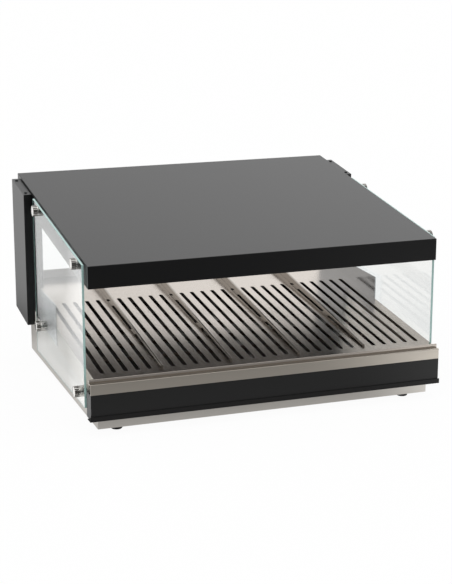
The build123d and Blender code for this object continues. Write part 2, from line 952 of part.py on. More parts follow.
def make_terminal_block():
    """Screw terminal block on the floor plate, between the gland and the switch."""
    y = wall_inner_y - foot_inset_y
    with BuildPart() as block:
        slab(block_x - block_length / 2, block_x + block_length / 2, y - block_width / 2, y + block_width / 2,
             floor_top, floor_top + block_height)
        with BuildSketch(Plane.XY.offset(floor_top + block_height)):
            with Locations((block_x, y)):
                with GridLocations(block_pitch, block_row_pitch, block_ways, 2):
                    Circle(screw_diameter / 2)
        extrude(amount=-block_hole_depth, mode=Mode.SUBTRACT)
    return block


save(make_base_shell(), "base_shell")
save(make_base_floor(), "base_floor")
save(make_rubber_feet(), "rubber_feet")
save(make_foot_screws(), "foot_screws")
save(make_base_insulation(), "base_insulation")
save(make_heat_pan(), "heat_pan")
save(make_partition(), "partition")
save(make_chamber_frame(), "chamber_frame")
save(make_shelf(), "shelf")
save(make_front_lip(), "front_lip")
save(make_front_panel(), "front_panel")
save(make_front_trim(), "front_trim")
save(make_rear_wall(), "rear_wall")
save(make_hood_shell(), "hood_shell")
save(make_hood_insulation(), "hood_insulation")
save(make_hood_liner(), "hood_liner")
save(make_upper_heaters(), "upper_heaters")
save(make_heater_clips(), "heater_clips")
save(make_lower_heater(), "lower_heater")
save(make_heater_brackets(), "heater_brackets")
save(make_hood_bushes(), "hood_bushes")
save(make_column_spacers(), "column_spacers")
save(make_column_screws(), "column_screws")
save(make_glass_knobs(), "glass_knobs")
save(make_glass_studs(), "glass_studs")
save(make_glass_spacers(), "glass_spacers")
save(make_controls_plate(), "controls_plate")
save(make_controls_screws(), "controls_screws")
save(make_switch_housing(), "switch_housing")
save(make_switch_rocker(), "switch_rocker")
save(make_pilot_lamps(), "pilot_lamps")
save(make_cord_gland(), "cord_gland")
save(make_terminal_block(), "terminal_block")

for name, side in sides.items():
    save(make_upright(side), f"upright_{name}")
    save(make_column(side), f"column_{name}")
    save(make_column_plate(side), f"column_plate_{name}")
    save(make_glass(side), f"glass_{name}")

for number, x in enumerate(divider_xs, start=1):
    save(make_divider(x), f"divider_{number}")

for name, x in {"upper": knob_x, "lower": -knob_x}.items():
    save(make_thermostat(x), f"thermostat_{name}")
    save(make_spindle(x), f"spindle_{name}")
    save(make_knob(x), f"knob_{name}")
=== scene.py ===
# %% [markdown]
# # A counter-top food warmer, dressed for a studio picture
# The solids of this warmer come from its CAD source, with every piece as an object of its own.
# This lesson gives them their real finishes, makes the few pieces that need finer work (ground
# glass, fluted clamp heads, cross-head screws, printed marks), and sets up the light and the camera.

import math

import bmesh
import bpy
from mathutils import Euler, Matrix, Vector


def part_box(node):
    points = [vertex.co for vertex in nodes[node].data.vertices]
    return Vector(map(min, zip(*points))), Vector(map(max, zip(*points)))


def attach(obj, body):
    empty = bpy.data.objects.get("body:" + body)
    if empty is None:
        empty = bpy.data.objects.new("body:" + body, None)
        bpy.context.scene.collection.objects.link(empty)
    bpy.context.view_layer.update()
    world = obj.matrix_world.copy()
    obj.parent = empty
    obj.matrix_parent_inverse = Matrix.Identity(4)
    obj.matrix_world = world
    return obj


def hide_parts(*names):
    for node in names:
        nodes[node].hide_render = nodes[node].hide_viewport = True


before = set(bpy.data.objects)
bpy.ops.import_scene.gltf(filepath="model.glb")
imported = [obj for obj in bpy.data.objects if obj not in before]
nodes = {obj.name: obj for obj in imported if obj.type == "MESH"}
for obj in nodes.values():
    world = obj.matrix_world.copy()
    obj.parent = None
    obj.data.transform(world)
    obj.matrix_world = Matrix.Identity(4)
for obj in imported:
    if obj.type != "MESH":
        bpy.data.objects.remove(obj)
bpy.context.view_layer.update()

# %% [markdown]
# Blender works in metres and the warmer is measured in millimetres, so one value turns one into
# the other. Colours are picked as hex values on a screen, which are sRGB. Shaders want linear
# values, so one function turns them.

# %%
# Units and colours
mm = 0.001


def linear(hex_colour):
    """An sRGB hex colour as linear red, green, blue and alpha."""
    channels = [int(hex_colour[i : i + 2], 16) / 255 for i in (0, 2, 4)]
    return [c / 12.92 if c <= 0.04045 else ((c + 0.055) / 1.055) ** 2.4 for c in channels] + [1.0]


# %% [markdown]
# Every finish is a small tree of nodes. One function adds a node with its settings and links, and
# another starts a material and gives back its tree and its main shader. The others are the steps
# that come back in many trees: a fade, a sum, a mix, a noise and a bump.

# %%
# Node helpers
def add(tree, kind, settings=None, links=None):
    """Add a node, set its properties or sockets, and link its inputs."""
    node = tree.nodes.new(kind)
    for key, value in (settings or {}).items():
        if isinstance(key, int) or key in node.inputs:
            node.inputs[key].default_value = value
        else:
            setattr(node, key, value)
    for key, source in (links or {}).items():
        tree.links.new(source, node.inputs[key])
    return node


def start_material(name, settings):
    """A new material with a Principled shader that has these settings."""
    material = bpy.data.materials.new(name)
    material.use_nodes = True
    tree = material.node_tree
    tree.nodes.clear()
    shader = add(tree, "ShaderNodeBsdfPrincipled", settings)
    add(tree, "ShaderNodeOutputMaterial", links={"Surface": shader.outputs["BSDF"]})
    return material, tree, shader


def fade(tree, value, start, end, low=0.0, high=1.0, kind="LINEAR"):
    """A value that goes from low to high while the given one goes from start to end."""
    node = add(
        tree,
        "ShaderNodeMapRange",
        {"From Min": start, "From Max": end, "To Min": low, "To Max": high, "interpolation_type": kind},
        {"Value": value},
    )
    return node.outputs["Result"]


def arithmetic(tree, operation, *terms):
    """One step of arithmetic on terms that are numbers or outputs of other nodes."""
    numbers = {place: term for place, term in enumerate(terms) if isinstance(term, float)}
    sources = {place: term for place, term in enumerate(terms) if not isinstance(term, float)}
    return add(tree, "ShaderNodeMath", {"operation": operation, **numbers}, sources).outputs[0]


def mixed(tree, share, first, second):
    """A shader that is the first one where the share is 0 and the second one where it is 1."""
    return add(tree, "ShaderNodeMixShader", {}, {0: share, 1: first, 2: second}).outputs[0]


def object_noise(tree, size, settings):
    """Noise that keeps its place on the object, with features of a size in millimetres."""
    place = add(tree, "ShaderNodeTexCoord")
    return add(
        tree,
        "ShaderNodeTexNoise",
        {"Scale": 1 / (size * mm), **settings},
        {"Vector": place.outputs["Object"]},
    )


def add_bump(tree, shader, height, strength, depth):
    """Let a pattern bump the surface of a shader. The depth is in millimetres."""
    bump = add(
        tree, "ShaderNodeBump", {"Strength": strength, "Distance": depth * mm}, {"Height": height}
    )
    tree.links.new(bump.outputs["Normal"], shader.inputs["Normal"])


# Most of a noise lies between these values
usual_noise = (0.3, 0.7)

# %% [markdown]
# ## Powder coat
# The hood, the columns and the front panel are steel with a polyester powder coat. The powder
# melts into a skin with a very fine orange-peel texture. It is nearly black seen head on and turns
# mid grey at a flat angle, where its satin surface mirrors the bright studio.

# %%
# Powder-coated steel
def powder_coat(name, colour, roughness):
    """Satin polyester powder coat with a fine orange-peel surface."""
    material, tree, shader = start_material(
        name, {"Base Color": linear(colour), "Roughness": roughness, "IOR": 1.42}
    )
    peel = object_noise(tree, 1.6, {"Detail": 2.0, "Roughness": 0.5})
    add_bump(tree, shader, peel.outputs["Fac"], strength=0.12, depth=0.04)
    return material


hood_coat = powder_coat("Polyester_powder_coat_satin_black", "0F0F10", 0.40)
front_coat = powder_coat("Polyester_powder_coat_front_panel", "181818", 0.45)
trim_coat = powder_coat("Polyester_powder_coat_matt_black", "0B0A0A", 0.60)
print("powder coats:", hood_coat.name, front_coat.name, trim_coat.name)

# %% [markdown]
# ## Brushed stainless steel
# The base, the lip, the shelf, the dividers and the uprights are stainless sheet, brushed with a
# belt. The belt leaves long fine scratches in one direction. Noise that is stretched along the grain
# makes both the streaks of roughness and a slight bump. Real scratches are about 0.05 mm apart,
# which is too fine to show, so the streaks are drawn about 1.2 mm apart. The bottom plate, the
# partition and the heaters' brackets keep their mill finish, with broader and shorter streaks.


# %%
# Brushed sheet
def brushed(name, colour, roughness, grain, streak=1.2, stretch=60.0):
    """Brushed stainless sheet whose scratches run along the grain axis, 'X', 'Y' or 'Z'."""
    material, tree, shader = start_material(
        name,
        {"Base Color": linear(colour), "Metallic": 1.0, "Roughness": roughness, "Anisotropic": 0.5},
    )
    place = add(tree, "ShaderNodeTexCoord")
    across = 1 / (streak * mm)
    scale = [across, across, across]
    scale["XYZ".index(grain)] = across / stretch
    squeezed = add(tree, "ShaderNodeMapping", {"Scale": scale}, {"Vector": place.outputs["Object"]})
    streaks = add(
        tree,
        "ShaderNodeTexNoise",
        {"Scale": 1.0, "Detail": 3.0, "Roughness": 0.6},
        {"Vector": squeezed.outputs["Vector"]},
    )
    rough = fade(tree, streaks.outputs["Fac"], *usual_noise, roughness - 0.05, roughness + 0.07)
    tree.links.new(rough, shader.inputs["Roughness"])
    add_bump(tree, shader, streaks.outputs["Fac"], strength=0.05, depth=0.05)
    return material


steel_lengthwise = brushed("Stainless_steel_brushed_lengthwise", "BDB6AC", 0.34, "X")
steel_base = brushed("Stainless_steel_brushed_base", "C6C2BC", 0.36, "X")
# The shelf's steel is set darker than the lip's: partly the sheet's own tone and partly painted shade, such
# as food on the shelf casts
steel_shelf_with_painted_shade = brushed("Stainless_steel_brushed_shelf_with_painted_shade", "B4ACA4", 0.20, "Y")
# The dividers' steel is painted darker than the shelf's, as a painted dark reflection on their sides
steel_divider_painted_dark_reflection = brushed("Stainless_steel_brushed_divider_painted_dark_reflection", "9C958D", 0.15, "Y")
steel_upright = brushed("Stainless_steel_brushed_upright", "B4B8BC", 0.17, "Z")
steel_mill = brushed("Stainless_steel_mill_finish", "A9A7A3", 0.38, "X", streak=4.0, stretch=6.0)
print("brushed sheets made")

# %% [markdown]
# ## Other metals
# The reflector is bright-rolled aluminium, the clamps are turned from stainless bar, the screws are
# zinc plated or blackened, the gland is nickel-plated brass, and the heaters have a dull sheath
# that heat has tinted brown. The liner of the hood is a darker steel, and the same dark steel
# is painted into the flutes of the clamp heads as shade.


# %%
# Plain metals
def plain_metal(name, colour, roughness):
    """A metal without a drawn grain, with slight clouds in its roughness."""
    material, tree, shader = start_material(
        name, {"Base Color": linear(colour), "Metallic": 1.0, "Roughness": roughness}
    )
    clouds = object_noise(tree, 25, {"Detail": 3.0})
    rough = fade(tree, clouds.outputs["Fac"], *usual_noise, roughness - 0.03, roughness + 0.05)
    tree.links.new(rough, shader.inputs["Roughness"])
    return material


reflector = plain_metal("Aluminium_bright_rolled", "DAD9D6", 0.22)
turned_steel = plain_metal("Stainless_steel_turned", "BDBBB7", 0.12)
zinc_plate = plain_metal("Steel_zinc_plated", "B9BBBC", 0.30)
black_oxide = plain_metal("Steel_black_oxide", "2A2A2B", 0.38)
nickel_plate = plain_metal("Brass_nickel_plated", "C9C4B6", 0.24)
heater_sheath = plain_metal("Heater_sheath_heat_tinted", "6A5F57", 0.42)
# Darker steel for the hood's liner, and painted shade inside the clamp heads' flutes
dark_steel_and_flute_shade = plain_metal("Stainless_steel_dark_and_painted_flute_shade", "54504C", 0.48)
print("plain metals made")

# %% [markdown]
# ## Plastics, rubber and wool
# The knobs and the switch are moulded ABS with a fine grain, the rocker is smoother, the feet are
# nitrile rubber, the terminal block and thermostat bodies are pale heat-proof plastic, and the
# insulation is mineral wool. The print is white ink, and the pilot lamps have amber lenses.


# %%
# Moulded materials
def moulded(name, colour, roughness, grain_size, bump_strength, colour_two=None):
    """A moulded or felted material with a fine grain, and a second colour in its clouds if given."""
    material, tree, shader = start_material(
        name, {"Base Color": linear(colour), "Roughness": roughness, "IOR": 1.5}
    )
    grain = object_noise(tree, grain_size, {"Detail": 3.0})
    add_bump(tree, shader, grain.outputs["Fac"], bump_strength, depth=0.1)
    if colour_two:
        blend = add(
            tree,
            "ShaderNodeMix",
            {"data_type": "RGBA", 6: linear(colour), 7: linear(colour_two)},
            {0: grain.outputs["Fac"]},
        )
        tree.links.new(blend.outputs[2], shader.inputs["Base Color"])
    return material


knob_abs = moulded("ABS_moulded_black", "161617", 0.45, 0.8, 0.15)
rocker_abs = moulded("ABS_polished_black", "101011", 0.22, 2.0, 0.02)
foot_rubber = moulded("Nitrile_rubber_black", "141414", 0.75, 1.0, 0.2)
pale_plastic = moulded("Melamine_heat_proof_pale", "CFC9B8", 0.5, 1.0, 0.1)
mineral_wool = moulded("Mineral_wool_pale", "B7A98A", 0.95, 3.0, 0.9, colour_two="D8CFB4")
print_ink = moulded("Screen_print_white", "DEDEDA", 0.6, 0.5, 0.02)
lamp_lens, _, _ = start_material(
    "Polycarbonate_amber_lens",
    {
        "Base Color": linear("D9701E"),
        "Roughness": 0.12,
        "IOR": 1.58,
        "Coat Weight": 0.6,
        "Coat Roughness": 0.05,
    },
)
print("plastics made")

# %% [markdown]
# ## Glass
# The side panes are 4 mm toughened float glass. Head on they are almost invisible, and at a flat
# angle they mirror the bright studio, which the Principled shader gives by itself. Lamps and soft
# light have to reach the steel behind them, so shadow and diffuse rays pass as through thin film.
# The ground edge shows the green of iron in the glass, because the eye looks along the whole pane
# there, so the edge is a material of its own. The sleeves between the glass and the clamps are soft
# clear vinyl.

# %%
# Float glass and its ground edge
pane_glass, pane_tree, pane_shader = start_material(
    "Float_glass_toughened",
    {
        "Base Color": linear("FBFDFC"),
        "Roughness": 0.0,
        "IOR": 1.5,
        "Transmission Weight": 1.0,
    },
)
rays = add(pane_tree, "ShaderNodeLightPath")
soft_ray = arithmetic(
    pane_tree, "MAXIMUM", rays.outputs["Is Shadow Ray"], rays.outputs["Is Diffuse Ray"]
)
passing = add(pane_tree, "ShaderNodeBsdfTransparent", {"Color": linear("F2F8F5")})
pane_mix = mixed(pane_tree, soft_ray, pane_shader.outputs["BSDF"], passing.outputs["BSDF"])
pane_output = next(node for node in pane_tree.nodes if node.type == "OUTPUT_MATERIAL")
pane_tree.links.new(pane_mix, pane_output.inputs["Surface"])

edge_glass, _, _ = start_material(
    "Float_glass_ground_edge",
    {
        "Base Color": linear("A6C6C1"),
        "Roughness": 0.25,
        "IOR": 1.5,
    },
)
clear_vinyl, _, _ = start_material(
    "Soft_vinyl_clear",
    {
        "Base Color": linear("EEF0EE"),
        "Roughness": 0.18,
        "IOR": 1.45,
        "Transmission Weight": 1.0,
    },
)
print("glass made")

# %% [markdown]
# ## Finishes on the CAD pieces
# Each CAD piece keeps its shape and gets its finish in its material slots.

# %%
# Dress the CAD nodes
finishes = {
    hood_coat: ["hood_shell", "column_left", "column_right", "column_plate_left", "column_plate_right"],
    front_coat: ["front_panel", "controls_plate"],
    trim_coat: ["front_trim"],
    steel_lengthwise: ["front_lip", "chamber_frame"],
    steel_base: ["base_shell", "rear_wall"],
    steel_shelf_with_painted_shade: ["shelf"],
    steel_divider_painted_dark_reflection: ["divider_1", "divider_2", "divider_3", "divider_4"],
    steel_upright: ["upright_left", "upright_right"],
    steel_mill: ["base_floor", "partition", "heater_clips", "heater_brackets"],
    dark_steel_and_flute_shade: ["hood_liner"],
    reflector: ["heat_pan"],
    clear_vinyl: ["glass_spacers"],
    zinc_plate: [
        "foot_screws",
        "hood_bushes",
        "column_spacers",
        "glass_studs",
        "controls_screws",
        "spindle_upper",
        "spindle_lower",
    ],
    black_oxide: ["column_screws"],
    nickel_plate: ["cord_gland"],
    heater_sheath: ["upper_heaters", "lower_heater"],
    knob_abs: ["knob_upper", "knob_lower", "switch_housing"],
    rocker_abs: ["switch_rocker"],
    foot_rubber: ["rubber_feet"],
    pale_plastic: ["terminal_block", "thermostat_upper", "thermostat_lower"],
    mineral_wool: ["base_insulation", "hood_insulation"],
    lamp_lens: ["pilot_lamps"],
}
for material, names in finishes.items():
    for name in names:
        for place in nodes[name].material_slots:
            place.material = material
bare = set(nodes) - {name for names in finishes.values() for name in names}
print("dressed all but", sorted(bare))

# %% [markdown]
# ## Modelling helpers
# The new pieces are modelled as by hand: a primitive at its size and place, shaped in edit mode.
# An operator acts on all that is selected, so one function makes a piece the only one selected,
# and another picks faces, edges or corners in code by a test on their place or direction.


# %%
# Select and pick
def only(piece):
    """Make one piece the only selected and the active one."""
    bpy.ops.object.select_all(action="DESELECT")
    piece.select_set(True)
    bpy.context.view_layer.objects.active = piece


def pick(piece, kind, test):
    """In edit mode, select the faces, edges or corners that pass a test."""
    bpy.ops.mesh.select_mode(type=kind)
    bpy.ops.mesh.select_all(action="DESELECT")
    shape = bmesh.from_edit_mesh(piece.data)
    parts = {"FACE": shape.faces, "EDGE": shape.edges, "VERT": shape.verts}[kind]
    chosen = [part for part in parts if test(part)]
    for part in chosen:
        part.select_set(True)
    bmesh.update_edit_mesh(piece.data)
    return len(chosen)


def settle(piece):
    """Put a piece's place, turn and size into its mesh."""
    only(piece)
    bpy.ops.object.transform_apply(location=True, rotation=True, scale=True)


def block(name, low, high):
    """A box between two corners, in millimetres."""
    bpy.ops.object.select_all(action="DESELECT")
    middle = [(a + b) / 2 * mm for a, b in zip(low, high)]
    bpy.ops.mesh.primitive_cube_add(size=1.0, location=middle)
    piece = bpy.context.object
    piece.name = name
    piece.scale = [(b - a) * mm for a, b in zip(low, high)]
    settle(piece)
    return piece


def rod(name, radius, length, middle, axis, sides):
    """A round rod along 'X', 'Y' or 'Z', with its sizes and its middle in millimetres."""
    turns = {"X": (0, math.pi / 2, 0), "Y": (math.pi / 2, 0, 0), "Z": (0, 0, 0)}
    bpy.ops.object.select_all(action="DESELECT")
    bpy.ops.mesh.primitive_cylinder_add(
        vertices=sides,
        radius=radius * mm,
        depth=length * mm,
        location=Vector(middle) * mm,
        rotation=turns[axis],
    )
    piece = bpy.context.object
    piece.name = name
    settle(piece)
    return piece


def placed_copy(pattern, placement):
    """A copy of a piece, with a matrix that places and turns it put into its mesh."""
    copy = pattern.copy()
    copy.data = pattern.data.copy()
    bpy.context.scene.collection.objects.link(copy)
    copy.matrix_world = placement
    settle(copy)
    return copy


def cut_away(piece, tool):
    """Cut one piece out of another and remove the tool."""
    only(piece)
    cut = piece.modifiers.new("cut", "BOOLEAN")
    cut.operation = "DIFFERENCE"
    cut.object = tool
    cut.solver = "EXACT"
    bpy.ops.object.modifier_apply(modifier=cut.name)
    bpy.data.objects.remove(tool, do_unlink=True)


def join(name, parts):
    """Join several pieces into one."""
    only(parts[0])
    for part in parts[1:]:
        part.select_set(True)
    bpy.ops.object.join()
    piece = bpy.context.object
    piece.name = name
    return piece


print("helpers ready")

# %% [markdown]
# ## Side panes
# Each pane is cut from 4 mm glass, its top edge follows the hood, and four holes take the clamps.
# The edges are ground and their corners are broken with a small bevel, so nobody is cut. The CAD
# pane has plain corners. A box is added over it, its front top edge is lowered, the long edges are
# bevelled and the holes are cut, and then all that is not a broad face gets the edge material.

# %%
# Where the clamps are, in millimetres
hood_front_y = -259.0
hood_front_z = 293.0
hood_slope = math.radians(7.0)
hood_rise = math.tan(hood_slope)
clamp_front_y = -205.0
clamp_rear_y = 82.0
pane_top_step = 3.0
clamp_drop = 10.2
low_front_z = 61.5
low_rear_z = 101.2
clamp_places = [
    (y, hood_front_z + (y - hood_front_y) * hood_rise - pane_top_step - clamp_drop)
    for y in (clamp_front_y, clamp_rear_y)
] + [(clamp_front_y, low_front_z), (clamp_rear_y, low_rear_z)]
print("clamps at", [(y, round(z, 1)) for y, z in clamp_places])

# %%
# Model the panes
hole_radius = 3.2
hole_length = 12.0
edge_break = 0.5
shortest_long_edge = 20


def make_pane(side):
    """A ground glass pane in the place of the CAD one."""
    node = "glass_" + side
    low, high = (Vector(corner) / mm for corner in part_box(node))
    pane = block("pane_" + side, low, high)
    bpy.ops.object.mode_set(mode="EDIT")
    pick(pane, "VERT", lambda v: v.co.z / mm > high.z - 1 and v.co.y / mm < low.y + 1)
    bpy.ops.transform.translate(value=(0, 0, -(high.y - low.y) * hood_rise * mm))
    pick(pane, "EDGE", lambda e: e.calc_length() / mm > shortest_long_edge)
    bpy.ops.mesh.bevel(offset=edge_break * mm, segments=2)
    bpy.ops.object.mode_set(mode="OBJECT")
    for y, z in clamp_places:
        middle = ((low.x + high.x) / 2, y, z)
        cut_away(pane, rod("hole", hole_radius, hole_length, middle, "X", 32))
    pane.data.materials.append(pane_glass)
    pane.data.materials.append(edge_glass)
    only(pane)
    bpy.ops.object.mode_set(mode="EDIT")
    count = pick(pane, "FACE", lambda f: abs(f.normal.x) < 0.95)
    pane.active_material_index = 1
    bpy.ops.object.material_slot_assign()
    bpy.ops.object.mode_set(mode="OBJECT")
    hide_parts(node)
    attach(pane, "cabinet")
    print(pane.name, "has", count, "edge faces")


for side in ("left", "right"):
    make_pane(side)

# %% [markdown]
# ## Clamp heads
# The round heads are turned from bar, and eighteen shallow flutes give the fingers a hold. One head
# is modelled at the origin, lying along X: the flutes are cut out of a cylinder with a ring of thin
# rods, and the outer rim is broken with a bevel. The walls of the flutes get a dark steel, which
# paints shade into them. Eight copies go to their places, turned about for the left side.

# %%
# Model one head
head_radius = 10.0
head_length = 9.8
rim_break = 0.5
flute_count = 18
flute_radius = 1.1
flute_depth = 1.0
flute_start = 1.6
flute_reach = head_radius - flute_depth + flute_radius
clamp_head = rod("clamp_head", head_radius, head_length, (head_length / 2, 0, 0), "X", 72)
flutes = []
for number in range(flute_count):
    angle = 2 * math.pi * number / flute_count
    middle = (
        flute_start + head_length / 2,
        flute_reach * math.cos(angle),
        flute_reach * math.sin(angle),
    )
    flutes.append(rod("flute", flute_radius, head_length, middle, "X", 20))
cut_away(clamp_head, join("flutes", flutes))
bpy.ops.object.mode_set(mode="EDIT")
pick(clamp_head, "EDGE", lambda e: all(v.co.x / mm > head_length - 0.01 for v in e.verts))
bpy.ops.mesh.bevel(offset=rim_break * mm, segments=2)
bpy.ops.object.mode_set(mode="OBJECT")
bpy.ops.object.shade_smooth_by_angle(angle=math.radians(35))
clamp_head.data.materials.append(turned_steel)
clamp_head.data.materials.append(dark_steel_and_flute_shade)
# The faces inside the flutes get the second, dark material: painted shade in the hollows
flute_top = head_radius - 0.25
for face in clamp_head.data.polygons:
    in_flute = math.hypot(face.center.y, face.center.z) < flute_top * mm
    face.material_index = 1 if in_flute and abs(face.normal.x) < 0.5 else 0
print("head has", len(clamp_head.data.polygons), "faces")

# %%
# Copy it to the eight places
_, knob_high = (Vector(corner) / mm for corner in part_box("glass_knobs"))
heads = []
for side in (-1, 1):
    base = side * (knob_high.x - head_length)
    turn = Matrix.Rotation(0 if side > 0 else math.pi, 4, "Z")
    for y, z in clamp_places:
        heads.append(placed_copy(clamp_head, Matrix.Translation(Vector((base, y, z)) * mm) @ turn))
bpy.data.objects.remove(clamp_head, do_unlink=True)
clamp_heads = join("clamp_heads", heads)
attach(clamp_heads, "cabinet")
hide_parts("glass_knobs")
print("clamp heads", len(heads))

# %% [markdown]
# ## Cross-head screws
# The screws on top of the columns and on the controls plate are pan heads with a cross recess. One
# head is modelled at the origin: a cylinder whose top edge is rounded and whose cross is cut with
# two crossed bars. Copies are then turned and moved to their places.


# %%
# Model and place screw heads
def pan_head(name, radius, height):
    """A pan head standing on the XY plane, with a cross recess."""
    head = rod(name, radius, height, (0, 0, height / 2), "Z", 32)
    bpy.ops.object.mode_set(mode="EDIT")
    pick(head, "EDGE", lambda e: all(v.co.z / mm > height * 0.9 for v in e.verts))
    bpy.ops.mesh.bevel(offset=height * 0.45 * mm, segments=3)
    bpy.ops.object.mode_set(mode="OBJECT")
    arm = radius * 0.55
    width = radius * 0.14
    recess_floor = height * 0.4
    for half_x, half_y in ((arm, width), (width, arm)):
        bar = block("cross_bar", (-half_x, -half_y, recess_floor), (half_x, half_y, height * 2))
        cut_away(head, bar)
    only(head)
    bpy.ops.object.shade_smooth_by_angle(angle=math.radians(40))
    return head


def place_heads(name, head, places, turn, material):
    """Copies of a head at places, turned, joined into one piece. The pattern head is removed."""
    turned = turn.to_matrix().to_4x4()
    copies = [placed_copy(head, Matrix.Translation(Vector(place) * mm) @ turned) for place in places]
    bpy.data.objects.remove(head, do_unlink=True)
    piece = join(name, copies)
    piece.data.materials.clear()
    piece.data.materials.append(material)
    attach(piece, "cabinet")
    return piece


# %%
# Screws on the columns
column_low, column_high = (Vector(corner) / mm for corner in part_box("column_left"))
screw_inset = 12.0
column_step = 4.6
screw_x = abs(column_low.x + column_high.x) / 2
screw_places = []
for side in (-1, 1):
    for y in (column_low.y + screw_inset, column_high.y - screw_inset):
        z = hood_front_z + (y - hood_front_y) * hood_rise - column_step
        screw_places.append((side * screw_x, y, z))
column_heads = place_heads(
    "column_screw_heads",
    pan_head("column_head", radius=3.0, height=1.5),
    screw_places,
    Euler((hood_slope, 0, 0)),
    black_oxide,
)
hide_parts("column_screws")
print(len(screw_places), "column screws")

# %%
# Screws on the controls plate
plate_low, plate_high = (Vector(corner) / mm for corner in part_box("controls_plate"))
corner_inset = 8.0
plate_places = [
    (x, plate_high.y, z)
    for x in (plate_low.x + corner_inset, plate_high.x - corner_inset)
    for z in (plate_low.z + corner_inset, plate_high.z - corner_inset)
]
plate_heads = place_heads(
    "controls_screw_heads",
    pan_head("controls_head", radius=3.8, height=2.4),
    plate_places,
    Euler((-math.pi / 2, 0, 0)),
    zinc_plate,
)
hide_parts("controls_screws")
print(len(plate_places), "controls screws")

# %% [markdown]
# ## Dials
# Each knob turns over a printed scale from 0 to 6, clockwise over three quarters of a turn, and has
# a white line on its grip. The numbers are text turned to a mesh, and the ticks are thin boxes. All
# print stands a twentieth of a millimetre proud, as thick screen ink does.

# %%
# Scale on the plate
ink = 0.05
knob_middle_z = 52.0
knob_xs = {"upper": -92.0, "lower": 92.0}
number_radius = 25.5
number_size = 5.0
tick_radii = (19.0, 21.5)
tick_half_width = 0.3
dial_steps = 6
sweep = math.radians(270.0)


def printed_number(text, x, z):
    """A number on the plate that reads from behind the warmer."""
    bpy.ops.object.select_all(action="DESELECT")
    bpy.ops.object.text_add(
        location=(x * mm, plate_high.y * mm, z * mm), rotation=(math.pi / 2, 0, math.pi)
    )
    label = bpy.context.object
    label.data.body = text
    label.data.size = number_size * mm
    label.data.align_x = "CENTER"
    label.data.align_y = "CENTER"
    label.data.extrude = ink * mm
    bpy.ops.object.convert(target="MESH")
    label = bpy.context.object
    settle(label)
    return label


def printed_tick(x, z, angle):
    """A short line on the plate that points at a knob's middle."""
    inner, outer = tick_radii
    tick = block("tick", (-tick_half_width, -ink, inner), (tick_half_width, ink, outer))
    tick.rotation_euler = (0, angle, 0)
    tick.location = Vector((x, plate_high.y, z)) * mm
    settle(tick)
    return tick


scale_parts = []
for knob_x in knob_xs.values():
    for step in range(dial_steps + 1):
        angle = sweep * step / dial_steps
        x = knob_x - number_radius * math.sin(angle)
        z = knob_middle_z + number_radius * math.cos(angle)
        scale_parts.append(printed_number(str(step), x, z))
        scale_parts.append(printed_tick(knob_x, knob_middle_z, -angle))
dial_print = join("dial_print", scale_parts)
dial_print.data.materials.clear()
dial_print.data.materials.append(print_ink)
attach(dial_print, "cabinet")
print("printed", len(scale_parts), "marks")

# %%
# Lines on the knobs
line_half_width = 0.7
line_radii = (3.0, 13.5)
line_depth = 0.3
for which, knob_x in knob_xs.items():
    grip_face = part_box("knob_" + which)[1][1] / mm
    line = block(
        "knob_line_" + which,
        (knob_x - line_half_width, grip_face - line_depth, knob_middle_z + line_radii[0]),
        (knob_x + line_half_width, grip_face + ink, knob_middle_z + line_radii[1]),
    )
    line.data.materials.append(print_ink)
    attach(line, which + "_control")
print("knob lines made")

# %% [markdown]
# ## Switch marks
# The rocker carries a bar for on and a ring for off. Each mark lies on one of its sloping halves
# and rides with it. The rocker rests with its upper half pressed in by 8 degrees.

# %%
# Marks on the rocker
rocker_tilt = math.radians(8.0)
rocker_stand_off = 2.0
rocker_axis = (0.0, plate_high.y + rocker_stand_off, knob_middle_z)
valley, shoulder_rise, half_length = 1.0, 1.6, 9.5
mark_up = 5.0
bar_half_width, bar_half_height = 0.35, 1.8
ring_outer, ring_inner = 1.9, 1.3


def lay_on_rocker(mark, up):
    """Lay a mark, modelled upright round the origin, on the rocker's face at a height from its axis."""
    out = valley + abs(up) * shoulder_rise / half_length
    y = rocker_axis[1] + out * math.cos(rocker_tilt) - up * math.sin(rocker_tilt)
    z = rocker_axis[2] + out * math.sin(rocker_tilt) + up * math.cos(rocker_tilt)
    slope = math.copysign(math.atan2(shoulder_rise, half_length), up)
    mark.rotation_euler = (rocker_tilt - slope, 0, 0)
    mark.location = Vector((rocker_axis[0], y, z)) * mm
    settle(mark)
    return mark


on_bar = block(
    "on_bar", (-bar_half_width, -ink, -bar_half_height), (bar_half_width, ink, bar_half_height)
)
off_ring = rod("off_ring", ring_outer, 2 * ink, (0, 0, 0), "Y", 40)
cut_away(off_ring, rod("off_middle", ring_inner, 6 * ink, (0, 0, 0), "Y", 40))
marks = [lay_on_rocker(on_bar, mark_up), lay_on_rocker(off_ring, -mark_up)]
rocker_marks = join("rocker_marks", marks)
rocker_marks.data.materials.clear()
rocker_marks.data.materials.append(print_ink)
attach(rocker_marks, "rocker")
print("rocker marks made")

# %% [markdown]
# ## Camera
# The picture is taken from a little to the left and above, with a long lens, so that upright
# lines stay nearly parallel. The place, turn and lens were worked out from the object's corners.

# %%
# Camera
looks_down = 14.55
turned_right = 19.47
camera_data = bpy.data.cameras.new("Studio_camera")
camera_data.sensor_width = 36.0
camera_data.lens = 95.27
camera_data.clip_end = 200.0
camera = bpy.data.objects.new("Studio_camera", camera_data)
bpy.context.scene.collection.objects.link(camera)
camera.location = Vector((-929.6, -2668.2, 892.3)) * mm
camera.rotation_euler = (math.radians(90 - looks_down), 0.0, math.radians(-turned_right))
bpy.context.scene.camera = camera
print("camera at", tuple(round(v, 3) for v in camera.location))
